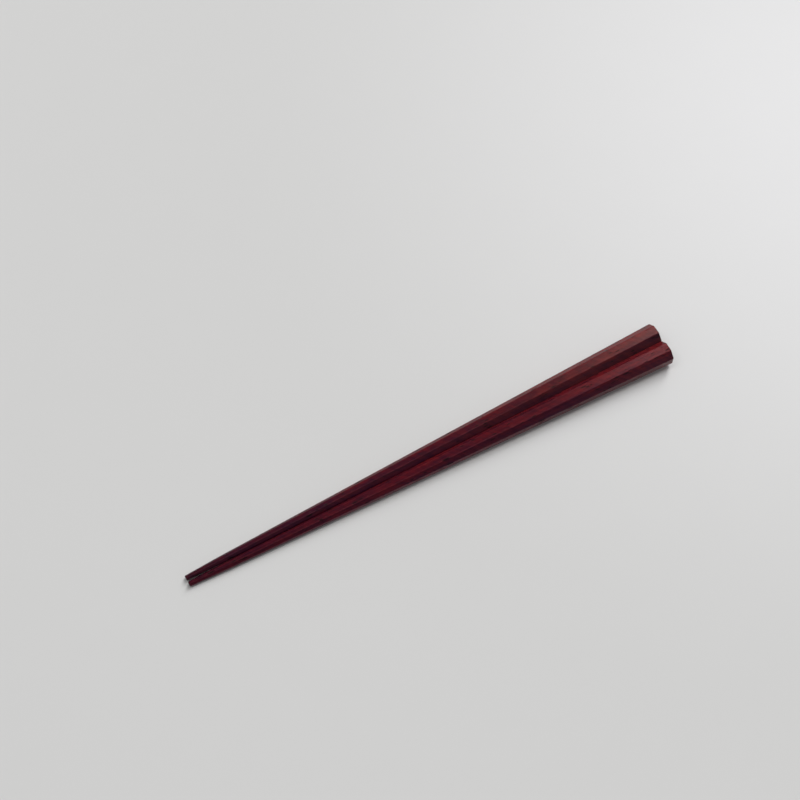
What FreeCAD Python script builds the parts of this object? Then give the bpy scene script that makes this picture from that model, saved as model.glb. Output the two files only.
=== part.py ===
# A pair of tapered octagonal wooden chopsticks, lying side by side.
#
# Millimetres. +X runs along the pair from the thin eating tips (-X) to the thick ends (+X), +Y is to the
# left of that, and +Z is up. The origin is under the middle of the pair, on the surface that it lies on.
# Each stick is one piece of wood: a turned blank, with eight flats planed along it, and the arrises and
# both ends eased.
import FreeCAD, Part
import math
import os

import Sketcher

# name, value in mm, what it is
SIZES = (
    ("stick_length", 235.0, "from the tip end to the thick end, along the stick"),
    ("butt_across_flats", 10.0, "octagon at the thick end"),
    ("neck_across_flats", 3.1, "octagon where the main taper meets the tip's steeper one"),
    ("tip_across_flats", 2.15, "octagon at the tip end"),
    ("tip_shaping_length", 15.0, "from the tip end to the neck"),
    ("neck_blend_radius", 500.0, "long easy curve between the two tapers"),
    ("planing_allowance", 1.0, "how far the round blank stands past the thick end's corners"),
    ("arris_radius", 0.25, "easing of the eight long edges"),
    ("butt_edge_radius", 0.5, "rounding of the thick end's rim"),
    ("tip_edge_radius", 0.3, "rounding of the tip end's rim"),
    ("neck_gap", 0.35, "between the facing flats of the two sticks at the necks"),
    ("butt_gap", 0.05, "between the facing flats of the two sticks at the thick ends"),
)
FLATS = 8
SHEET = "Sizes"
END_NEAR = 1e-6  # how close to an end's plane a rim's corner lies

# The left stick lies at +Y and the right one at -Y.
STICKS = (("left_chopstick", 1), ("right_chopstick", -1))

DOCUMENT = FreeCAD.newDocument("octagonal_chopsticks")


def fill_sheet():
    """Writes each driving size into the sheet and gives its cell the size's name."""
    sheet = DOCUMENT.addObject("Spreadsheet::Sheet", SHEET)
    for row, (name, value, note) in enumerate(SIZES, start=1):
        sheet.set(f"A{row}", name)
        sheet.set(f"B{row}", str(value))
        sheet.set(f"C{row}", note)
        sheet.setAlias(f"B{row}", name)
    DOCUMENT.recompute()
    return sheet


def cell(name):
    """The name by which an expression reads one of the sheet's sizes."""
    return f"{SHEET}.{name}"


def half(name):
    """The expression for half of one of the sheet's sizes."""
    return f"{cell(name)} / 2"


def origin_part(body, role):
    """One of the body's own origin planes or axes."""
    return next(part for part in body.Origin.OriginFeatures if part.Role == role)


def sketch_on(body, name, role):
    """A new sketch that lies flat on one of the body's origin planes."""
    sketch = body.newObject("Sketcher::SketchObject", name)
    sketch.AttachmentSupport = [(origin_part(body, role), "")]
    sketch.MapMode = "FlatFace"
    return sketch


def set_size(sketch, constraint, name, expression):
    """Adds a dimension to a sketch, names it and ties it to the sheet."""
    index = sketch.addConstraint(constraint)
    sketch.renameConstraint(index, name)
    sketch.setExpression(f"Constraints.{name}", expression)


def turned_blank(body, sheet):
    """The round blank that the octagon is planed from."""
    corner_angle = 180 / FLATS
    across_corners = sheet.butt_across_flats / math.cos(math.radians(corner_angle))
    radius = across_corners / 2 + sheet.planing_allowance
    section = sketch_on(body, "blank_section", "YZ_Plane")
    centre = FreeCAD.Vector(0, 0, 0)
    section.addGeometry(Part.Circle(centre, FreeCAD.Vector(0, 0, 1), radius))
    section.addConstraint(Sketcher.Constraint("Coincident", 0, 3, -1, 1))
    set_size(
        section,
        Sketcher.Constraint("Radius", 0, radius),
        "blank_radius",
        f"{half('butt_across_flats')} / cos({corner_angle} deg) + {cell('planing_allowance')}",
    )
    blank = body.newObject("PartDesign::Pad", "turned_blank")
    blank.Profile = section
    blank.setExpression("Length", cell("stick_length"))
    return blank


def planing_corners(sheet):
    """The corners of the planing outline, beside a stick that lies along X with its axis at height 0."""
    clear_of_blank = sheet.butt_across_flats
    return {
        "tip": FreeCAD.Vector(0, sheet.tip_across_flats / 2, 0),
        "neck": FreeCAD.Vector(sheet.tip_shaping_length, sheet.neck_across_flats / 2, 0),
        "butt": FreeCAD.Vector(sheet.stick_length, sheet.butt_across_flats / 2, 0),
        "over_butt": FreeCAD.Vector(sheet.stick_length, clear_of_blank, 0),
        "over_tip": FreeCAD.Vector(0, clear_of_blank, 0),
    }


def turn_of(arm):
    """How far a sketch's arm is turned from the sketch's own X axis, in radians."""
    return math.atan2(arm.y, arm.x)


def neck_blend(corners, radius):
    """The easy curve between the two tapers, which starts on the main one and ends on the tip's."""
    tip_run = (corners["neck"] - corners["tip"]).normalize()
    main_run = (corners["butt"] - corners["neck"]).normalize()
    reach = radius * math.tan(tip_run.getAngle(main_run) / 2)
    on_main = corners["neck"] + main_run * reach
    on_tip = corners["neck"] - tip_run * reach
    centre = on_tip + FreeCAD.Vector(tip_run.y, -tip_run.x, 0) * radius
    circle = Part.Circle(centre, FreeCAD.Vector(0, 0, 1), radius)
    return Part.ArcOfCircle(circle, turn_of(on_main - centre), turn_of(on_tip - centre))


def draw_planing(outline, corners, blend):
    """Draws the outline's edges, and the point where the two tapers would meet without their blend."""
    edges = {
        "tip_line": Part.LineSegment(corners["tip"], blend.EndPoint),
        "blend": blend,
        "main_line": Part.LineSegment(blend.StartPoint, corners["butt"]),
        "butt_side": Part.LineSegment(corners["butt"], corners["over_butt"]),
        "top_side": Part.LineSegment(corners["over_butt"], corners["over_tip"]),
        "tip_side": Part.LineSegment(corners["over_tip"], corners["tip"]),
        "neck": Part.Point(corners["neck"]),
    }
    numbers = dict(zip(edges, outline.addGeometry(list(edges.values()))))
    outline.setConstruction(numbers["neck"], True)
    return numbers


def join_planing(outline, edge):
    """Joins the outline's edges end to end, with its two sides square to the stick."""
    constrain = Sketcher.Constraint
    outline.addConstraint(
        [
            constrain("Tangent", edge["tip_line"], 2, edge["blend"], 2),
            constrain("Tangent", edge["blend"], 1, edge["main_line"], 1),
            constrain("Coincident", edge["main_line"], 2, edge["butt_side"], 1),
            constrain("Coincident", edge["butt_side"], 2, edge["top_side"], 1),
            constrain("Coincident", edge["top_side"], 2, edge["tip_side"], 1),
            constrain("Coincident", edge["tip_side"], 2, edge["tip_line"], 1),
            constrain("Vertical", edge["butt_side"]),
            constrain("Horizontal", edge["top_side"]),
            constrain("Vertical", edge["tip_side"]),
            constrain("PointOnObject", edge["tip_line"], 1, -2),
            constrain("PointOnObject", edge["neck"], 1, edge["tip_line"]),
            constrain("PointOnObject", edge["neck"], 1, edge["main_line"]),
        ]
    )


def size_planing(outline, edge, corners, radius):
    """Ties the outline's lengths along the stick, its heights above the axis and its blend to the sheet."""
    lengths = (
        ("DistanceY", "tip_line", 1, corners["tip"].y, "tip_half", half("tip_across_flats")),
        ("DistanceX", "neck", 1, corners["neck"].x, "neck_place", cell("tip_shaping_length")),
        ("DistanceY", "neck", 1, corners["neck"].y, "neck_half", half("neck_across_flats")),
        ("DistanceX", "main_line", 2, corners["butt"].x, "butt_place", cell("stick_length")),
        ("DistanceY", "main_line", 2, corners["butt"].y, "butt_half", half("butt_across_flats")),
        ("DistanceY", "top_side", 1, corners["over_butt"].y, "clear_of_blank", cell("butt_across_flats")),
    )
    for kind, place, end, value, name, expression in lengths:
        constraint = Sketcher.Constraint(kind, -1, 1, edge[place], end, value)
        set_size(outline, constraint, name, expression)
    constraint = Sketcher.Constraint("Radius", edge["blend"], radius)
    set_size(outline, constraint, "blend_radius", cell("neck_blend_radius"))


def planing_outline(body, sheet):
    """Side view of what is planed off above one flat: the two tapers with their easy curve between."""
    radius = sheet.neck_blend_radius
    corners = planing_corners(sheet)
    outline = sketch_on(body, "planing_outline", "XZ_Plane")
    edge = draw_planing(outline, corners, neck_blend(corners, radius))
    join_planing(outline, edge)
    size_planing(outline, edge, corners, radius)
    return outline


def planed_flats(body, sheet):
    """Planes one flat off the blank, and repeats it round the stick's axis."""
    flat = body.newObject("PartDesign::Pocket", "planed_flat")
    flat.Profile = planing_outline(body, sheet)
    flat.Type = "ThroughAll"
    flat.Midplane = True
    flats = body.newObject("PartDesign::PolarPattern", "planed_flats")
    flats.Originals = [flat]
    flats.Axis = (origin_part(body, "X_Axis"), [""])
    flats.Angle = 360
    flats.Occurrences = FLATS
    body.Tip = flats
    DOCUMENT.recompute()
    return flats


def edge_names(shape, wanted):
    """The names of those of a shape's edges that the test wants."""
    return [f"Edge{number}" for number, edge in enumerate(shape.Edges, start=1) if wanted(edge)]


def is_rim_at(end):
    """A test for the edges of the end face that lies at this place along the stick."""

    def test(edge):
        return all(abs(vertex.Point.x - end) < END_NEAR for vertex in edge.Vertexes)

    return test


def is_arris(edge):
    """Whether an edge runs along the stick, between two flats or down over a rounded rim."""
    first, last = (vertex.Point for vertex in edge.Vertexes)
    return abs(last.x - first.x) > END_NEAR


def rounded(body, base, name, wanted, radius):
    """Rounds those edges of the last feature that the test wants."""
    fillet = body.newObject("PartDesign::Fillet", name)
    fillet.Base = (base, edge_names(base.Shape, wanted))
    fillet.setExpression("Radius", cell(radius))
    body.Tip = fillet
    DOCUMENT.recompute()
    return fillet


def main_taper():
    """How far the main flats lean from the stick's axis."""
    rise = f"({cell('butt_across_flats')} - {cell('neck_across_flats')}) / 2"
    return f"atan({rise} / ({cell('stick_length')} - {cell('tip_shaping_length')}))"


def splay():
    """How far each stick turns from the pair's middle line, so that its facing flat keeps both gaps."""
    butt_centres = f"({cell('butt_across_flats')} + {cell('butt_gap')})"
    neck_centres = f"({cell('neck_across_flats')} + {cell('neck_gap')})"
    rise = f"({butt_centres} - {neck_centres}) / 2"
    return f"asin({rise} / ({cell('stick_length')} - {cell('tip_shaping_length')}))"


def lay_down(body, side):
    """Lays the stick on its lowest main flat beside the pair's middle line, with the ends in line."""
    lean = main_taper()
    turn = splay()
    neck_centre = f"({cell('neck_across_flats')} + {cell('neck_gap')}) / 2"
    along = f"-{half('stick_length')} * cos({lean}) * cos({turn})"
    across = f"{neck_centre} - {cell('tip_shaping_length')} * sin({turn})"
    height = f"({half('neck_across_flats')} - {cell('tip_shaping_length')} * tan({lean})) * cos({lean})"
    place = f"vector({along}; {side} * ({across}); {height})"
    body.setExpression("Placement", f"placement({place}; rotation({side} * {turn}; -{lean}; 0))")


def build_stick(label, side, sheet):
    """One chopstick, modelled along its own axis from tip to thick end and then laid down."""
    body = DOCUMENT.addObject("PartDesign::Body", label)
    body.Label = label
    blank = turned_blank(body, sheet)
    flats = planed_flats(body, sheet)
    if flats.Shape.Volume >= blank.Shape.Volume:
        raise RuntimeError(f"{label}: the flats took nothing off the blank")
    tip_end = rounded(body, flats, "tip_rim", is_rim_at(0), "tip_edge_radius")
    butt = is_rim_at(sheet.stick_length)
    butt_end = rounded(body, tip_end, "butt_rim", butt, "butt_edge_radius")
    rounded(body, butt_end, "arrises", is_arris, "arris_radius")
    lay_down(body, side)
    return body


def check_document():
    """Stops if any object of the document failed to build."""
    for item in DOCUMENT.Objects:
        if "Invalid" in item.State or "Error" in item.State:
            raise RuntimeError(f"{item.Label} failed: {item.State}")


def check_stick(body):
    """Stops unless the stick is one valid solid."""
    shape = body.Shape
    if shape.isNull() or not shape.isValid() or len(shape.Solids) != 1:
        raise RuntimeError(f"{body.Label} isn't one valid solid")


def main():
    """Builds both sticks, checks them and writes them out."""
    sheet = fill_sheet()
    bodies = [build_stick(label, side, sheet) for label, side in STICKS]
    DOCUMENT.recompute()
    check_document()
    for body in bodies:
        check_stick(body)
    os.makedirs("parts", exist_ok=True)
    for body in bodies:
        body.Shape.exportStep(f"parts/{body.Label}.step")
        print(f"{body.Label}: {body.Shape.Volume:.1f} mm3, {body.Shape.BoundBox}")


main()
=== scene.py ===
"""Looks of a pair of octagonal hardwood chopsticks lying side by side on a pale table.

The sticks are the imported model's own pieces, in metres, with +X from the thin tips to the thick ends and
+Z up. This script gives each one its wood, and makes the table, the light and the camera.
"""

import logging
import math
from dataclasses import dataclass, field
from enum import Enum

import bpy
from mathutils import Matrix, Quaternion, Vector


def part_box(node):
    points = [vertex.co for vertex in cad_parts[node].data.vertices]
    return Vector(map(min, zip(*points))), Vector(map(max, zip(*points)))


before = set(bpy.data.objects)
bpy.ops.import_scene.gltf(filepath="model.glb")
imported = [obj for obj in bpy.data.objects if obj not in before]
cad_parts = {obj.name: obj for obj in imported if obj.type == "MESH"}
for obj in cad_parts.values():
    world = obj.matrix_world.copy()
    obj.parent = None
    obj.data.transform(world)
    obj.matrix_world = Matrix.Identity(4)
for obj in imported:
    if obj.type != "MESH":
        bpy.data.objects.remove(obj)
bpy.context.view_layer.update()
MILLIMETRE = 0.001
FLATS = 8
FLAT_ANGLE = 2 * math.pi / FLATS
BACKDROP = (0.631, 0.638, 0.617)

# Where the Mix node keeps its sockets for colours.
MIX_SHARE, MIX_FIRST, MIX_SECOND, MIX_RESULT = 0, 6, 7, 2

logging.basicConfig(level=logging.INFO, format="%(levelname)s %(message)s")
log = logging.getLogger("chopsticks")

Colour = tuple[float, float, float]
Place = tuple[float, float, float]
Node = bpy.types.Node
Socket = bpy.types.NodeSocket
Value = Socket | float | Colour | Vector
Feeds = dict[str, Value]


class Kind(Enum):
    """What travels through a socket of a node group."""

    NUMBER = "NodeSocketFloat"
    PLACE = "NodeSocketVector"


@dataclass
class Wiring:
    """A node tree with short ways to add nodes to it and to join them."""

    tree: bpy.types.NodeTree

    def add(self, node_type: str, feeds: Feeds | None = None, **settings: object) -> Node:
        """Adds a node.

        Args:
            node_type: The node's type, such as "ShaderNodeMath".
            feeds: What goes into the node's inputs, by input name.
            settings: The node's own properties, by name.

        Returns:
            The new node.
        """
        node = self.tree.nodes.new(node_type)
        for name, value in settings.items():
            setattr(node, name, value)
        for name, value in (feeds or {}).items():
            self.feed(node.inputs[name], value)
        return node

    def feed(self, socket: Socket, value: Value) -> None:
        """Joins another socket to this input, or sets the input's own value.

        Args:
            socket: The input.
            value: The socket, number, colour or place to feed it.
        """
        if isinstance(value, bpy.types.NodeSocket):
            self.tree.links.new(value, socket)
        elif socket.type == "RGBA" and len(value) == 3:
            socket.default_value = (*value, 1.0)
        else:
            socket.default_value = value

    def maths(self, operation: str, *values: Value, clamp: bool = False) -> Socket:
        """Works out one number.

        Args:
            operation: The Math node's operation.
            values: Its one to three numbers.
            clamp: Whether the answer is held between 0 and 1.

        Returns:
            The socket that carries the answer.
        """
        node = self.add("ShaderNodeMath", operation=operation, use_clamp=clamp)
        for socket, value in zip(node.inputs, values):
            self.feed(socket, value)
        return node.outputs[0]

    def fade(self, value: Value, start: Value, end: Value) -> Socket:
        """Works out a smooth rise from 0 to 1.

        Args:
            value: The number that drives it.
            start: Where the rise begins.
            end: Where it ends, which may be below the start.

        Returns:
            The socket that carries the rise.
        """
        feeds = {"Value": value, "From Min": start, "From Max": end}
        node = self.add("ShaderNodeMapRange", feeds, interpolation_type="SMOOTHSTEP")
        return node.outputs["Result"]

    def blend(self, share: Value, first: Value, second: Value, blend_type: str = "MIX") -> Socket:
        """Mixes two colours.

        Args:
            share: How much of the second colour is used.
            first: The first colour.
            second: The second colour.
            blend_type: How they combine.

        Returns:
            The socket that carries the mixture.
        """
        node = self.add("ShaderNodeMix", data_type="RGBA", blend_type=blend_type)
        self.feed(node.inputs[MIX_SHARE], share)
        self.feed(node.inputs[MIX_FIRST], first)
        self.feed(node.inputs[MIX_SECOND], second)
        return node.outputs[MIX_RESULT]

    def tinted(self, share: Value, colour: Value, tint: Value) -> Socket:
        """The colour multiplied by a share of the tint."""
        return self.blend(share, colour, tint, "MULTIPLY")

    def vector(self, operation: str, *values: Value, output: str = "Vector", **feeds: Value) -> Socket:
        """Works out one vector, or a number from vectors.

        Args:
            operation: The Vector Math node's operation.
            values: Its vectors.
            output: The output that is wanted.
            feeds: What goes into its other inputs, by name.

        Returns:
            The socket that carries the answer.
        """
        node = self.add("ShaderNodeVectorMath", feeds, operation=operation)
        for socket, value in zip(node.inputs, values):
            self.feed(socket, value)
        return node.outputs[output]

    def skewed(self, place: Socket, slope: Value, share: float) -> Socket:
        """Leans a place so that a pattern made there crosses the stick's length at a slant.

        Args:
            place: A place in millimetres, with X along the grain.
            slope: How far it moves across, along Y, for each unit of X.
            share: How much of that it also moves along Z.

        Returns:
            The socket that carries the leaning place.
        """
        parts = self.add("ShaderNodeSeparateXYZ", {"Vector": place}).outputs
        drift = self.maths("MULTIPLY", parts["X"], slope)
        across = self.maths("ADD", parts["Y"], drift)
        upward = self.maths("MULTIPLY_ADD", drift, share, parts["Z"])
        return self.add("ShaderNodeCombineXYZ", {"X": parts["X"], "Y": across, "Z": upward}).outputs["Vector"]

    def shown(self) -> Socket:
        """Tells what is seen from what lights.

        Returns:
            The socket that carries 1 for what the camera sees, straight or by way of a mirror or glass, and 0
            for the light itself.
        """
        path = self.add("ShaderNodeLightPath").outputs
        mirrored = self.maths("MAXIMUM", path["Is Glossy Ray"], path["Is Transmission Ray"])
        return self.maths("MAXIMUM", path["Is Camera Ray"], mirrored)


@dataclass(frozen=True)
class Cloud:
    """Soft noise that may be drawn out along X.

    Its sizes are in the unit of the place that it is read at. Its mask begins at start and is full at end.
    """

    along: float
    across: float
    detail: float
    roughness: float = 0.5
    distortion: float = 0.0
    start: float = 0.0
    end: float = 1.0

    def read(self, wiring: Wiring, place: Socket) -> Socket:
        """Reads the noise.

        Args:
            wiring: Where its nodes go.
            place: Where it is read.

        Returns:
            The socket that carries the noise, which is about 0.5 on average.
        """
        squeeze = Vector((1 / self.along, 1 / self.across, 1 / self.across))
        feeds = {
            "Vector": wiring.vector("MULTIPLY", place, squeeze),
            "Scale": 1.0,
            "Detail": self.detail,
            "Roughness": self.roughness,
            "Distortion": self.distortion,
        }
        return wiring.add("ShaderNodeTexNoise", feeds).outputs["Fac"]

    def faded(self, wiring: Wiring, place: Socket) -> Socket:
        """The noise as a mask: 0 where it is under the start, and 1 where it is over the end."""
        return wiring.fade(self.read(wiring, place), self.start, self.end)


@dataclass
class Effect:
    """A shader node group with named sockets, made once and placed in each material that uses it."""

    name: str
    inputs: dict[str, Kind]
    outputs: dict[str, Kind]
    wiring: Wiring = field(init=False)
    given: Node = field(init=False)
    result: Node = field(init=False)

    def __post_init__(self) -> None:
        """Makes the empty group with its sockets."""
        tree = bpy.data.node_groups.new(self.name, "ShaderNodeTree")
        for name, kind in self.inputs.items():
            tree.interface.new_socket(name, in_out="INPUT", socket_type=kind.value)
        for name, kind in self.outputs.items():
            tree.interface.new_socket(name, in_out="OUTPUT", socket_type=kind.value)
        self.wiring = Wiring(tree)
        self.given = self.wiring.add("NodeGroupInput")
        self.result = self.wiring.add("NodeGroupOutput")

    def take(self, name: str) -> Socket:
        """The socket inside the group that carries one of its inputs."""
        return self.given.outputs[name]

    def give(self, name: str, value: Value) -> None:
        """Feeds one of the group's outputs."""
        self.wiring.feed(self.result.inputs[name], value)

    def place_in(self, wiring: Wiring, feeds: Feeds) -> bpy.types.NodeOutputs:
        """Puts the group into a material.

        Args:
            wiring: The material's wiring.
            feeds: What goes into the group's inputs, by input name.

        Returns:
            The outputs of the group's node.
        """
        node = wiring.add("ShaderNodeGroup", node_tree=self.wiring.tree)
        for name, value in feeds.items():
            wiring.feed(node.inputs[name], value)
        return node.outputs


@dataclass(frozen=True)
class GrainFigure:
    """The wood's figure: growth bands, patches, mottling, slanting ribbons, dark streaks and fine fibres.

    The lengths are in millimetres, and waver_reach is in widths of a band. run_out_share and ribbon_share say
    how much of the grain's and the ribbons' sideways slant goes upwards too.
    """

    waver: Cloud = Cloud(45, 5, detail=2)
    waver_reach: float = 2.4
    patches: Cloud = Cloud(14, 3.2, detail=3, distortion=0.6, start=0.38, end=0.62)
    mottle: Cloud = Cloud(4.5, 1.7, detail=2, distortion=0.6, start=0.38, end=0.66)
    ribbons: Cloud = Cloud(9, 1.8, detail=2, distortion=0.3, start=0.40, end=0.64)
    streaks: Cloud = Cloud(24, 0.6, detail=3, roughness=0.6, distortion=0.2, start=0.46, end=0.70)
    fibres: Cloud = Cloud(7, 0.1, detail=2, roughness=0.6)
    run_out_share: float = 0.6
    ribbon_slope: float = 0.75
    ribbon_share: float = 0.5

    def build(self) -> Effect:
        """Makes the node group.

        Returns:
            The effect, whose place is in millimetres with X along the stick.
        """
        effect = Effect(
            "Grain figure",
            {"Place": Kind.PLACE, "Heart": Kind.PLACE, "Ring width": Kind.NUMBER, "Run-out": Kind.NUMBER},
            dict.fromkeys(("Bands", "Patches", "Mottle", "Ribbons", "Streaks", "Fibres"), Kind.NUMBER),
        )
        wiring = effect.wiring
        place = effect.take("Place")
        leaning = wiring.skewed(place, effect.take("Run-out"), self.run_out_share)
        slanting = wiring.skewed(place, self.ribbon_slope, self.ribbon_share)
        effect.give("Bands", self.bands(effect, leaning))
        effect.give("Patches", self.patches.faded(wiring, leaning))
        effect.give("Mottle", self.mottle.faded(wiring, leaning))
        effect.give("Ribbons", self.ribbons.faded(wiring, slanting))
        effect.give("Streaks", self.streaks.faded(wiring, leaning))
        effect.give("Fibres", self.fibres.read(wiring, leaning))
        return effect

    def bands(self, effect: Effect, leaning: Socket) -> Socket:
        """Makes the growth bands, which are rings round the tree's heart that waver a little.

        Args:
            effect: The node group.
            leaning: The place, leaning as the grain does.

        Returns:
            The socket that carries the bands, between 0 and 1.
        """
        wiring = effect.wiring
        across = wiring.vector("MULTIPLY", leaning, Vector((0, 1, 1)))
        radius = wiring.vector("DISTANCE", across, effect.take("Heart"), output="Value")
        ring = wiring.maths("DIVIDE", radius, effect.take("Ring width"))
        noise = self.waver.read(wiring, leaning)
        waver = wiring.maths("MULTIPLY_ADD", noise, self.waver_reach, -self.waver_reach / 2)
        turn = wiring.maths("MULTIPLY", wiring.maths("ADD", ring, waver), 2 * math.pi)
        return wiring.maths("MULTIPLY_ADD", wiring.maths("SINE", turn), 0.5, 0.5)


@dataclass(frozen=True)
class OpenPores:
    """The cut vessels, which show as short dark flecks along the grain and as dots on an end.

    They lie in groups with a few strays between them, and each has its own size. group_share and stray_share
    are shares of the material's crowding, smallest and size_spread of its size, and core is how much of a
    pore's width is fully dark.
    """

    groups: Cloud = Cloud(10, 3.0, detail=1, start=0.52, end=0.62)
    group_share: float = 1.1
    stray_share: float = 0.03
    smallest: float = 0.6
    size_spread: float = 0.8
    core: float = 0.6

    def build(self) -> Effect:
        """Makes the node group.

        Returns:
            The effect, whose place is in millimetres with X along the stick.
        """
        effect = Effect(
            "Open pores",
            {"Place": Kind.PLACE, **dict.fromkeys(("Length", "Spacing", "Size", "Crowding"), Kind.NUMBER)},
            {"Pores": Kind.NUMBER},
        )
        wiring = effect.wiring
        place = effect.take("Place")
        parts = wiring.add("ShaderNodeSeparateXYZ", {"Vector": place}).outputs
        squeezed = {
            "X": wiring.maths("DIVIDE", parts["X"], effect.take("Length")),
            "Y": wiring.maths("DIVIDE", parts["Y"], effect.take("Spacing")),
            "Z": wiring.maths("DIVIDE", parts["Z"], effect.take("Spacing")),
        }
        site = wiring.add("ShaderNodeCombineXYZ", squeezed).outputs["Vector"]
        cells = wiring.add("ShaderNodeTexVoronoi", {"Vector": site, "Scale": 1.0, "Randomness": 1.0}).outputs
        chance = wiring.add("ShaderNodeSeparateColor", {"Color": cells["Color"]}).outputs
        groups = self.groups.faded(wiring, place)
        crowded = wiring.maths("MULTIPLY_ADD", groups, self.group_share, self.stray_share)
        likely = wiring.maths("MULTIPLY", effect.take("Crowding"), crowded)
        present = wiring.maths("LESS_THAN", chance["Red"], likely)
        own_size = wiring.maths("MULTIPLY_ADD", chance["Green"], self.size_spread, self.smallest)
        reach = wiring.maths("MULTIPLY", effect.take("Size"), own_size)
        away = wiring.fade(cells["Distance"], wiring.maths("MULTIPLY", reach, self.core), reach)
        effect.give("Pores", wiring.maths("MULTIPLY", wiring.maths("SUBTRACT", 1.0, away), present))
        return effect


@dataclass(frozen=True)
class ArrisWear:
    """Where hands have rubbed the edges between the flats, in a line whose width comes and goes.

    narrowest and width_spread are shares of the width that the material gives.
    """

    patchiness: Cloud = Cloud(12, 4, detail=3)
    narrowest: float = 0.2
    width_spread: float = 1.6

    def build(self) -> Effect:
        """Makes the node group.

        Returns:
            The effect, whose place is in millimetres from the stick's own line.
        """
        effect = Effect("Arris wear", {"Place": Kind.PLACE, "Width": Kind.NUMBER}, {"Wear": Kind.NUMBER})
        wiring = effect.wiring
        place = effect.take("Place")
        noise = self.patchiness.read(wiring, place)
        patchy = wiring.maths("MULTIPLY_ADD", noise, self.width_spread, self.narrowest)
        width = wiring.maths("MULTIPLY", effect.take("Width"), patchy)
        worn = wiring.maths("SUBTRACT", 1.0, wiring.fade(self.arris_gap(wiring, place), 0.0, width))
        effect.give("Wear", worn)
        return effect

    def arris_gap(self, wiring: Wiring, place: Socket) -> Socket:
        """Measures how far a place is from the nearest arris.

        Args:
            wiring: Where the nodes go.
            place: The place, in millimetres from the stick's own line.

        Returns:
            The socket that carries the distance along the flat.
        """
        parts = wiring.add("ShaderNodeSeparateXYZ", {"Vector": place}).outputs
        angle = wiring.maths("ARCTAN2", parts["Z"], parts["Y"])
        turned = wiring.maths("ADD", wiring.maths("DIVIDE", angle, FLAT_ANGLE), 0.5)
        off_middle = wiring.maths("ABSOLUTE", wiring.maths("SUBTRACT", wiring.maths("FRACT", turned), 0.5))
        swing = wiring.maths("MULTIPLY", off_middle, FLAT_ANGLE)
        radius = wiring.vector("LENGTH", wiring.vector("MULTIPLY", place, Vector((0, 1, 1))), output="Value")
        half_flat = wiring.maths("MULTIPLY", wiring.maths("COSINE", swing), math.tan(FLAT_ANGLE / 2))
        off_arris = wiring.maths("SUBTRACT", half_flat, wiring.maths("SINE", swing))
        return wiring.maths("MULTIPLY", radius, off_arris)


@dataclass(frozen=True)
class StickShape:
    """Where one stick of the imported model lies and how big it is, in metres in the model's frame.

    end_depth is how far back from an end its face's corners may lie.
    """

    node: str
    end_depth: float = 0.3 * MILLIMETRE

    def mesh_object(self) -> bpy.types.Object:
        """The stick's object."""
        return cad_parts[self.node]

    def end_centre(self, at_tip: bool) -> Vector:
        """Finds the middle of one end face.

        Args:
            at_tip: Whether the thin end is wanted, and not the thick one.

        Returns:
            The place.
        """
        low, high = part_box(self.node)
        end = low[0] if at_tip else high[0]
        vertices = self.mesh_object().data.vertices
        corners = [vertex.co for vertex in vertices if abs(vertex.co.x - end) < self.end_depth]
        lowest = Vector(tuple(min(corner[axis] for corner in corners) for axis in range(3)))
        highest = Vector(tuple(max(corner[axis] for corner in corners) for axis in range(3)))
        return (lowest + highest) / 2

    def tip_centre(self) -> Vector:
        """The middle of the thin end's face."""
        return self.end_centre(at_tip=True)

    def axis(self) -> Vector:
        """The line from the middle of the thin end to the middle of the thick one."""
        return self.end_centre(at_tip=False) - self.tip_centre()

    def length(self) -> float:
        """The stick's length."""
        return self.axis().length

    def half_thickness(self) -> float:
        """Half the stick's height at its thick end."""
        low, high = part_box(self.node)
        return (high[2] - low[2]) / 2

    def turn(self) -> tuple[float, float, float]:
        """The turn that takes the model's X axis to the stick's own, as XYZ angles."""
        return tuple(Vector((1, 0, 0)).rotation_difference(self.axis()).to_euler("XYZ"))


@dataclass(frozen=True)
class Effects:
    """The node groups that the sticks' materials share."""

    figure: Effect
    pores: Effect
    wear: Effect


@dataclass(frozen=True)
class Marks:
    """What a stick's colour, gloss and relief are made from, as sockets of its material.

    Attributes:
        place: The place along and across the stick, in millimetres from the middle of its thin end.
        grain: The same place in the tree that the stick was cut from.
        share: How far along the stick it is, from 0 at the thin end to 1 at the thick one.
        depth: How far it lies towards the side painted in shade, above 0 on the side turned from the key
            light.
        figure: The outputs of the grain figure.
        pores: The open pores.
        wear: The wear on the arrises.
    """

    place: Socket
    grain: Socket
    share: Socket
    depth: Socket
    figure: bpy.types.NodeOutputs
    pores: Socket
    wear: Socket


@dataclass(frozen=True)
class PoreLayer:
    """Open pores of one size. Its lengths are in millimetres, and its size is a share of the spacing."""

    length: float
    spacing: float
    size: float
    crowding: float

    def feeds(self) -> Feeds:
        """What the open pores' node group is fed for this layer, by input name."""
        return {"Length": self.length, "Spacing": self.spacing, "Size": self.size, "Crowding": self.crowding}


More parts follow.
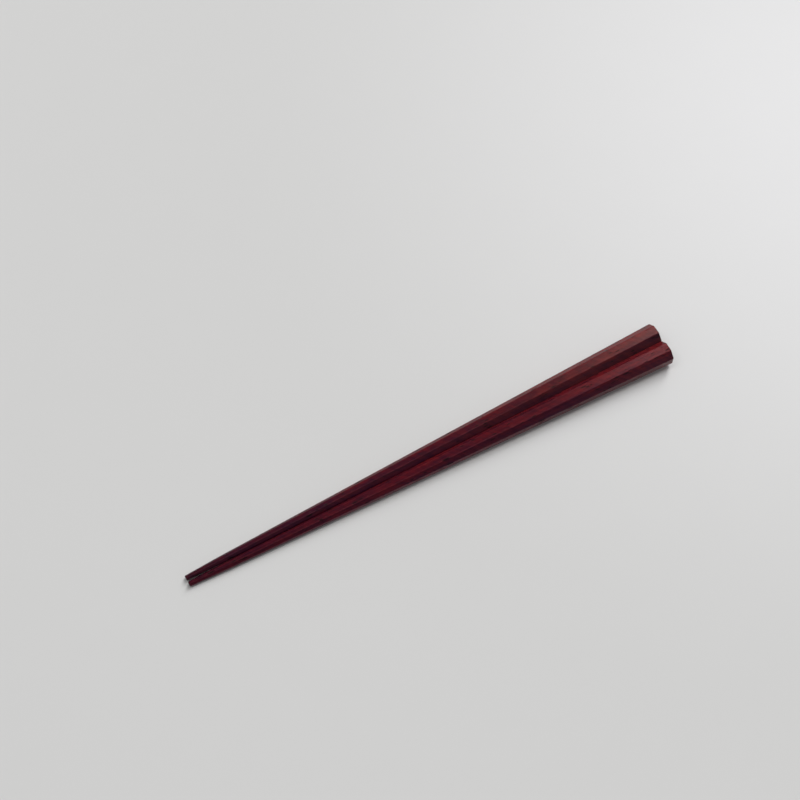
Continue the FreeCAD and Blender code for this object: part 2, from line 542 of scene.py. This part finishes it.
@dataclass(frozen=True)
class OiledSurface:
    """The gloss and the relief of planed, oiled and used wood. Its lengths are in millimetres."""

    roughness: float = 0.14
    fibre_roughness: float = 0.12
    pore_roughness: float = 0.6
    worn_roughness: float = 0.12
    waves: Cloud = Cloud(14, 2.5, detail=2)
    wave_height: float = 0.03
    fibre_height: float = 0.006
    worn_depth: float = 0.010
    pore_depth: float = 0.03

    def gloss(self, wiring: Wiring, marks: Marks) -> Socket:
        """Makes the surface rougher in the pores, between fibres and where the arrises have lost their oil.

        Args:
            wiring: The material's wiring.
            marks: The stick's marks.

        Returns:
            The socket that carries the roughness.
        """
        smoothest = self.roughness - self.fibre_roughness / 2
        rough = wiring.maths("MULTIPLY_ADD", marks.figure["Fibres"], self.fibre_roughness, smoothest)
        rough = wiring.maths("MULTIPLY_ADD", marks.pores, self.pore_roughness, rough)
        return wiring.maths("MULTIPLY_ADD", marks.wear, self.worn_roughness, rough, clamp=True)

    def relief(self, wiring: Wiring, marks: Marks) -> Socket:
        """Makes shallow plane waves, fine fibres, open pores and softened arrises.

        Args:
            wiring: The material's wiring.
            marks: The stick's marks.

        Returns:
            The socket that carries the normal.
        """
        height = wiring.maths("MULTIPLY", self.waves.read(wiring, marks.grain), self.wave_height)
        height = wiring.maths("MULTIPLY_ADD", marks.figure["Fibres"], self.fibre_height, height)
        height = wiring.maths("MULTIPLY_ADD", marks.wear, -self.worn_depth, height)
        height = wiring.maths("MULTIPLY_ADD", marks.pores, -self.pore_depth, height)
        bump = wiring.add("ShaderNodeBump", {"Strength": 1.0, "Distance": MILLIMETRE, "Height": height})
        return bump.outputs["Normal"]


@dataclass(frozen=True)
class RedHardwood:
    """Oiled red hardwood: purple-brown at the thin end, crimson in the middle, redder brown at the thick end.

    Lengths are in millimetres, and colours and tints are linear. heart and offset are places in the tree: its
    heart's, and that of the stick's thin end. run_out is how far the grain drifts sideways for each
    millimetre along. middle_at, thick_start, thick_end and under_fade are shares of the stick's length.
    side_start, shade_end, lit_end, under_start, under_end, calm_start and calm_end are depths towards the
    side painted in shade, as shaded_side_depth gives them. end_start and end_full say how squarely a face
    looks along the stick.
    """

    # What differs from stick to stick: the colours along it, and how it was cut from the tree.
    tip_colour: Colour
    middle_colour: Colour
    thick_colour: Colour
    heart: Place
    run_out: float
    offset: Place
    pore_shift: float

    # The grain, the pores and the wear.
    ring_width: float = 1.9
    coarse_pores: PoreLayer = PoreLayer(length=5.0, spacing=1.0, size=0.36, crowding=0.8)
    fine_pores: PoreLayer = PoreLayer(length=2.6, spacing=0.3, size=0.24, crowding=0.45)
    fine_pore_strength: float = 0.45
    worn_width: float = 0.5

    # How the colour changes along the stick, and the painted shade and light round it.
    middle_at: float = 0.45
    thick_start: float = 0.45
    thick_end: float = 0.82
    # The side turned from the key light, which is painted in shade, and how far that painted shade reaches.
    shaded_side: Place = (0.0, -0.9, 0.1)
    shade_reach: float = 5.0
    reach_growth: float = 0.25
    side_start: float = 0.1
    shade_end: float = 0.72
    lit_end: float = -0.45
    under_start: float = 0.05
    under_end: float = 0.2
    under_fade: float = 0.5
    arris_blur: float = 0.3
    # Tints of painted shade on the flats turned from the key light, of painted light on the lit flats, and of
    # painted light on the lower front flats.
    painted_shade_tint: Colour = (0.68, 1.45, 1.60)
    painted_lit_side_tint: Colour = (1.50, 0.92, 0.88)
    painted_under_light_tint: Colour = (1.30, 1.00, 1.05)

    # What the figure and the pores do to the colour.
    patch_tint: Colour = (0.78, 1.00, 1.16)
    mottle_tint: Colour = (1.20, 1.02, 1.05)
    ribbon_tint: Colour = (0.70, 0.80, 0.95)
    band_tint: Colour = (1.20, 1.15, 1.00)
    band_start: float = 0.25
    streak_tint: Colour = (0.50, 0.70, 0.90)
    streak_strength: float = 0.7
    fibre_contrast: float = 0.7
    pore_tint: Colour = (0.12, 0.15, 0.20)
    calm_start: float = 0.2
    calm_end: float = 0.6
    calm_strength: float = 0.6

    # What use and oil do to it.
    worn_tint: Colour = (1.18, 1.25, 1.15)
    worn_strength: float = 0.7
    end_tint: Colour = (0.42, 0.55, 0.60)
    end_start: float = 0.5
    end_full: float = 0.95
    sheen_tint: Colour = (1.0, 0.55, 0.50)
    ior: float = 1.28
    surface: OiledSurface = OiledSurface()

    def build(self, name: str, shape: StickShape, effects: Effects) -> bpy.types.Material:
        """Makes the material for one stick.

        Args:
            name: The material's name.
            shape: The shape of the stick that wears it, whose own line the grain follows.
            effects: The shared node groups.

        Returns:
            The finished material.
        """
        material = bpy.data.materials.new(name)
        material.use_nodes = True
        wiring = Wiring(material.node_tree)
        wiring.tree.nodes.clear()
        marks = self.marks(wiring, shape, effects)
        colour = self.length_colour(wiring, marks)
        colour = self.sided(wiring, colour, marks)
        colour = self.figured(wiring, colour, marks)
        colour = self.finished(wiring, colour, marks)
        shader = wiring.add("ShaderNodeBsdfPrincipled")
        shader.inputs["IOR"].default_value = self.ior
        shader.inputs["Specular Tint"].default_value = (*self.sheen_tint, 1.0)
        wiring.feed(shader.inputs["Base Color"], colour)
        wiring.feed(shader.inputs["Roughness"], self.surface.gloss(wiring, marks))
        wiring.feed(shader.inputs["Normal"], self.surface.relief(wiring, marks))
        output = wiring.add("ShaderNodeOutputMaterial")
        wiring.feed(output.inputs["Surface"], shader.outputs["BSDF"])
        return material

    def marks(self, wiring: Wiring, shape: StickShape, effects: Effects) -> Marks:
        """Works out the stick's marks.

        Args:
            wiring: The material's wiring.
            shape: The stick's shape.
            effects: The shared node groups.

        Returns:
            The marks.
        """
        place = self.stick_place(wiring, shape)
        grain = wiring.vector("ADD", place, Vector(self.offset))
        along = wiring.add("ShaderNodeSeparateXYZ", {"Vector": place}).outputs["X"]
        share = wiring.maths("DIVIDE", along, shape.length() / MILLIMETRE)
        figure = effects.figure.place_in(
            wiring,
            {"Place": grain, "Heart": self.heart, "Ring width": self.ring_width, "Run-out": self.run_out},
        )
        return Marks(
            place=place,
            grain=grain,
            share=share,
            depth=self.shaded_side_depth(wiring, place, share, shape),
            figure=figure,
            pores=self.open_pores(wiring, grain, effects),
            wear=effects.wear.place_in(wiring, {"Place": place, "Width": self.worn_width})["Wear"],
        )

    def stick_place(self, wiring: Wiring, shape: StickShape) -> Socket:
        """Works out the place along and across the stick.

        Args:
            wiring: The material's wiring.
            shape: The stick's shape.

        Returns:
            The socket that carries it, in millimetres from the middle of the thin end, with X along the
            stick.
        """
        coordinates = wiring.add("ShaderNodeTexCoord").outputs["Object"]
        mapping = wiring.add("ShaderNodeMapping", {"Vector": coordinates}, vector_type="TEXTURE")
        mapping.inputs["Location"].default_value = shape.tip_centre()
        mapping.inputs["Rotation"].default_value = shape.turn()
        mapping.inputs["Scale"].default_value = (MILLIMETRE,) * 3
        return mapping.outputs["Vector"]

    def shaded_side_depth(self, wiring: Wiring, place: Socket, share: Socket, shape: StickShape) -> Socket:
        """Works out how far the wood lies towards the side painted in shade, which is turned from the key
        light.

        Args:
            wiring: The material's wiring.
            place: The place along and across the stick.
            share: How far along the stick it is.
            shape: The stick's shape.

        Returns:
            The socket that carries it. At the thick end it is about 0.7 on the flat turned most from the key
            light and
            -0.7 on the far one, and at the thin end about 0.2 and -0.2.
        """
        towards = wiring.vector("DOT_PRODUCT", place, Vector(self.shaded_side), output="Value")
        growth = self.reach_growth * shape.half_thickness() / MILLIMETRE
        reach = wiring.maths("MULTIPLY_ADD", share, growth, self.shade_reach)
        return wiring.maths("DIVIDE", towards, reach)

    def open_pores(self, wiring: Wiring, grain: Socket, effects: Effects) -> Socket:
        """Places the pores of both sizes, the fine ones fainter.

        Args:
            wiring: The material's wiring.
            grain: The place in the tree.
            effects: The shared node groups.

        Returns:
            The socket that carries them.
        """
        vessels = wiring.vector("ADD", grain, Vector((self.pore_shift, 0, 0)))
        coarse = effects.pores.place_in(wiring, {"Place": vessels, **self.coarse_pores.feeds()})["Pores"]
        fine = effects.pores.place_in(wiring, {"Place": vessels, **self.fine_pores.feeds()})["Pores"]
        return wiring.maths("MAXIMUM", coarse, wiring.maths("MULTIPLY", fine, self.fine_pore_strength))

    def length_colour(self, wiring: Wiring, marks: Marks) -> Socket:
        """Makes the wood's plain colour, which changes from the thin end to the thick one.

        Args:
            wiring: The material's wiring.
            marks: The stick's marks.

        Returns:
            The socket that carries the colour.
        """
        to_middle = wiring.fade(marks.share, 0.0, self.middle_at)
        to_thick = wiring.fade(marks.share, self.thick_start, self.thick_end)
        colour = wiring.blend(to_middle, self.tip_colour, self.middle_colour)
        return wiring.blend(to_thick, colour, self.thick_colour)

    def sided(self, wiring: Wiring, colour: Socket, marks: Marks) -> Socket:
        """Paints shade and light round the stick: painted shade, darker and bluer, on the flats turned from
        the key light as far down as one arris, and painted light below that arris and on the lit side.

        Args:
            wiring: The material's wiring.
            colour: The plain colour.
            marks: The stick's marks.

        Returns:
            The socket that carries the new colour.
        """
        arris = Vector((0, math.tan(FLAT_ANGLE / 2), 1))
        height = wiring.vector("DOT_PRODUCT", marks.place, arris, output="Value")
        above = wiring.fade(height, -self.arris_blur, self.arris_blur)
        below = wiring.maths("SUBTRACT", 1.0, above)
        # Painted shade: heart here is the share of the flats turned from the key light, down to one arris,
        # that is made darker and bluer.
        heart = wiring.maths("MULTIPLY", wiring.fade(marks.depth, self.side_start, self.shade_end), above)
        # Painted light: the flats below that arris on the shaded side, towards the thin end, are tinted
        # redder.
        under = wiring.maths("MULTIPLY", wiring.fade(marks.depth, self.under_start, self.under_end), below)
        under = wiring.maths("MULTIPLY", under, wiring.fade(marks.share, 1.0, self.under_fade))
        # Painted light: the flats on the lit side, away from the painted shade, are made lighter and redder.
        painted_lit_side = wiring.fade(marks.depth, self.side_start, self.lit_end)
        colour = wiring.tinted(heart, colour, self.painted_shade_tint)
        colour = wiring.tinted(under, colour, self.painted_under_light_tint)
        return wiring.tinted(painted_lit_side, colour, self.painted_lit_side_tint)

    def figured(self, wiring: Wiring, colour: Socket, marks: Marks) -> Socket:
        """Adds the patches, mottling, ribbons, bands, streaks, fibres and pores.

        Args:
            wiring: The material's wiring.
            colour: The plain colour.
            marks: The stick's marks.

        Returns:
            The socket that carries the new colour, whose mottling is calmer towards the side painted in
            shade.
        """
        figure = marks.figure
        calm = wiring.fade(marks.depth, self.calm_start, self.calm_end)
        uneven = wiring.maths("SUBTRACT", 1.0, wiring.maths("MULTIPLY", calm, self.calm_strength))
        mottle = wiring.maths("MULTIPLY", figure["Mottle"], uneven)
        bands = wiring.fade(figure["Bands"], self.band_start, 1.0)
        streaks = wiring.maths("MULTIPLY", figure["Streaks"], self.streak_strength)
        darkest = 1 - self.fibre_contrast / 2
        fibres = wiring.maths("MULTIPLY_ADD", figure["Fibres"], self.fibre_contrast, darkest)
        colour = wiring.tinted(figure["Patches"], colour, self.patch_tint)
        colour = wiring.tinted(mottle, colour, self.mottle_tint)
        colour = wiring.tinted(figure["Ribbons"], colour, self.ribbon_tint)
        colour = wiring.tinted(bands, colour, self.band_tint)
        colour = wiring.tinted(streaks, colour, self.streak_tint)
        colour = wiring.vector("SCALE", colour, Scale=fibres)
        return wiring.tinted(marks.pores, colour, self.pore_tint)

    def finished(self, wiring: Wiring, colour: Socket, marks: Marks) -> Socket:
        """Makes the colour lighter on the rubbed arrises and darker on the ends, which drink more oil.

        Args:
            wiring: The material's wiring.
            colour: The figured colour.
            marks: The stick's marks.

        Returns:
            The socket that carries the new colour.
        """
        worn = wiring.maths("MULTIPLY", marks.wear, self.worn_strength)
        facing = wiring.add("ShaderNodeTexCoord").outputs["Normal"]
        lengthways = wiring.add("ShaderNodeSeparateXYZ", {"Vector": facing}).outputs["X"]
        end_face = wiring.fade(wiring.maths("ABSOLUTE", lengthways), self.end_start, self.end_full)
        colour = wiring.tinted(worn, colour, self.worn_tint)
        return wiring.tinted(end_face, colour, self.end_tint)


@dataclass(frozen=True)
class Chopstick:
    """One stick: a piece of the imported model, which keeps its shape and gets its wood here."""

    shape: StickShape
    wood: RedHardwood

    def dress(self, effects: Effects) -> None:
        """Gives the stick its wood.

        Args:
            effects: The shared node groups.
        """
        name = self.shape.node
        material = self.wood.build(f"{name}_wood", self.shape, effects)
        slots = self.shape.mesh_object().material_slots
        for slot in slots:
            slot.material = material
        log.info("%s: %.1f mm long, %d material slots", name, self.shape.length() / MILLIMETRE, len(slots))


@dataclass
class Tabletop:
    """A wide pale matt table that melts into the backdrop. Its lengths are in metres."""

    colour: Colour = (0.657, 0.657, 0.650)
    radius: float = 12.0
    edge_drop: float = 0.03
    sides: int = 96
    fade_start: float = 0.5
    fade_end: float = 1.5
    # A painted pool of light on the table beside the sticks' thick ends.
    painted_light_pool_place: Place = (0.30, 0.06, 0.0)
    painted_light_pool_radius: float = 0.34
    painted_light_pool_tint: Colour = (1.24, 1.24, 1.26)
    mottle: Cloud = Cloud(0.02, 0.02, detail=3)
    mottle_contrast: float = 0.012
    roughness: float = 0.8
    specular_level: float = 0.1

    def build(self) -> bpy.types.Object:
        """Models the table from a disc, whose rim is drawn down to give it an edge.

        Returns:
            The table's object.
        """
        bpy.ops.object.select_all(action="DESELECT")
        bpy.ops.mesh.primitive_circle_add(vertices=self.sides, radius=self.radius, fill_type="NGON")
        table = bpy.context.object
        table.name = "tabletop"
        bpy.ops.object.mode_set(mode="EDIT")
        bpy.ops.mesh.select_all(action="SELECT")
        bpy.ops.mesh.region_to_loop()
        bpy.ops.mesh.extrude_edges_move(TRANSFORM_OT_translate={"value": (0, 0, -self.edge_drop)})
        bpy.ops.mesh.select_all(action="SELECT")
        bpy.ops.mesh.normals_make_consistent(inside=False)
        bpy.ops.object.mode_set(mode="OBJECT")
        table.data.materials.append(self.material())
        log.info("tabletop: %.0f m across", 2 * self.radius)
        return table

    def material(self) -> bpy.types.Material:
        """Makes a matt surface, faintly mottled, with a painted pool of light beside the sticks.

        Returns:
            The finished material.
        """
        material = bpy.data.materials.new("pale_table")
        material.use_nodes = True
        wiring = Wiring(material.node_tree)
        shader = wiring.tree.nodes["Principled BSDF"]
        place = wiring.add("ShaderNodeTexCoord").outputs["Object"]
        darkest = 1 - self.mottle_contrast / 2
        tone = wiring.maths("MULTIPLY_ADD", self.mottle.read(wiring, place), self.mottle_contrast, darkest)
        # Painted light: the table is made paler in a soft pool beside the sticks' thick ends.
        away = wiring.vector("DISTANCE", place, Vector(self.painted_light_pool_place), output="Value")
        pool = wiring.fade(away, self.painted_light_pool_radius, 0.0)
        colour = wiring.tinted(pool, self.colour, self.painted_light_pool_tint)
        wiring.feed(shader.inputs["Base Color"], wiring.vector("SCALE", colour, Scale=tone))
        shader.inputs["Roughness"].default_value = self.roughness
        shader.inputs["Specular IOR Level"].default_value = self.specular_level
        far = wiring.fade(wiring.vector("LENGTH", place, output="Value"), self.fade_start, self.fade_end)
        backdrop = wiring.add("ShaderNodeEmission", {"Color": BACKDROP})
        melt = wiring.add("ShaderNodeMixShader", {"Fac": wiring.maths("MULTIPLY", far, wiring.shown())})
        _, near_surface, far_surface = melt.inputs
        wiring.feed(near_surface, shader.outputs["BSDF"])
        wiring.feed(far_surface, backdrop.outputs["Emission"])
        wiring.feed(wiring.tree.nodes["Material Output"].inputs["Surface"], melt.outputs["Shader"])
        return material


@dataclass(frozen=True)
class SoftPanel:
    """A soft light panel that faces the sticks. Its lengths are in metres and its power in watts."""

    name: str
    place: Place
    width: float
    height: float
    power: float

    def build(self) -> bpy.types.Object:
        """Places the panel.

        Returns:
            The light's object.
        """
        lamp = bpy.data.lights.new(self.name, "AREA")
        lamp.shape = "RECTANGLE"
        lamp.size = self.width
        lamp.size_y = self.height
        lamp.energy = self.power
        panel = bpy.data.objects.new(self.name, lamp)
        bpy.context.scene.collection.objects.link(panel)
        panel.location = self.place
        panel.rotation_mode = "QUATERNION"
        panel.rotation_quaternion = (-Vector(self.place)).to_track_quat("-Z", "Y")
        panel.visible_camera = False
        return panel


@dataclass
class Studio:
    """The soft light round the table: two panels and a dim room behind a pale backdrop."""

    room_colour: Colour = (0.262, 0.260, 0.262)
    band_height: float = 0.10
    panels: tuple[SoftPanel, ...] = (
        SoftPanel("key_panel", (4.00, 2.70, 4.35), width=1.95, height=4.94, power=273),
        SoftPanel("overhead_panel", (0.06, 0.46, 3.97), width=6.4, height=0.8, power=67.5),
    )

    def build(self) -> None:
        """Places the panels, and sets the room's own light and the plain view."""
        for panel in self.panels:
            panel.build()
        world = bpy.data.worlds.new("room")
        world.use_nodes = True
        wiring = Wiring(world.node_tree)
        towards = wiring.add("ShaderNodeTexCoord").outputs["Generated"]
        rise = wiring.add("ShaderNodeSeparateXYZ", {"Vector": towards}).outputs["Z"]
        low = wiring.fade(rise, self.band_height, 0.0)
        camera_ray = wiring.add("ShaderNodeLightPath").outputs["Is Camera Ray"]
        pale = wiring.maths("MAXIMUM", camera_ray, wiring.maths("MULTIPLY", low, wiring.shown()))
        colour = wiring.blend(pale, self.room_colour, BACKDROP)
        wiring.feed(world.node_tree.nodes["Background"].inputs["Color"], colour)
        bpy.context.scene.world = world
        bpy.context.scene.view_settings.view_transform = "Standard"
        log.info("studio: %d panels", len(self.panels))


@dataclass
class TableCamera:
    """A camera that looks down on the pair. Its angles are in degrees and its lengths in metres.

    The azimuth is anticlockwise from +X, seen from above. The lens and the sensor are in millimetres.
    """

    target: Place = (0.00264, 0.03275, 0.0)
    azimuth: float = -122.39
    elevation: float = 62.19
    distance: float = 0.865
    roll: float = 3.46
    lens: float = 88.66
    sensor: float = 36.0

    def direction(self) -> Vector:
        """Works out the way from the target to the camera.

        Returns:
            A vector of length 1.
        """
        turn = math.radians(self.azimuth)
        rise = math.radians(self.elevation)
        return Vector((math.cos(turn) * math.cos(rise), math.sin(turn) * math.cos(rise), math.sin(rise)))

    def build(self) -> None:
        """Makes the camera and hands it to the scene."""
        data = bpy.data.cameras.new("table_camera")
        data.lens = self.lens
        data.sensor_width = self.sensor
        camera = bpy.data.objects.new("table_camera", data)
        bpy.context.scene.collection.objects.link(camera)
        back = self.direction()
        camera.location = Vector(self.target) + back * self.distance
        camera.rotation_mode = "QUATERNION"
        level = (-back).to_track_quat("-Z", "Y")
        camera.rotation_quaternion = level @ Quaternion((0, 0, 1), math.radians(self.roll))
        bpy.context.scene.camera = camera
        log.info("camera: %.0f mm lens, %.2f m away", self.lens, self.distance)


def main() -> None:
    """Dresses the sticks and sets the scene."""
    TableCamera().build()
    Tabletop().build()
    Studio().build()
    effects = Effects(figure=GrainFigure().build(), pores=OpenPores().build(), wear=ArrisWear().build())
    sticks = (
        Chopstick(
            StickShape("left_chopstick"),
            RedHardwood(
                tip_colour=(0.039, 0.0055, 0.0130),
                middle_colour=(0.063, 0.0062, 0.0126),
                thick_colour=(0.086, 0.0086, 0.0116),
                heart=(0, 48, -60),
                run_out=0.012,
                offset=(400, 3, 8),
                pore_shift=322,
            ),
        ),
        Chopstick(
            StickShape("right_chopstick"),
            RedHardwood(
                tip_colour=(0.045, 0.0046, 0.0104),
                middle_colour=(0.071, 0.0056, 0.0108),
                thick_colour=(0.110, 0.0082, 0.0115),
                heart=(0, -25, 70),
                run_out=-0.015,
                offset=(900, -40, 21),
                pore_shift=1840,
                thick_start=0.72,
                thick_end=1.0,
                # The right stick's own tints of painted shade and painted light on its flats.
                painted_shade_tint=(0.61, 1.55, 1.60),
                painted_lit_side_tint=(1.40, 1.35, 1.05),
                painted_under_light_tint=(1.60, 0.80, 1.70),
                sheen_tint=(1.0, 0.42, 0.42),
            ),
        ),
    )
    for stick in sticks:
        stick.dress(effects)


if __name__ == "__main__":
    main()
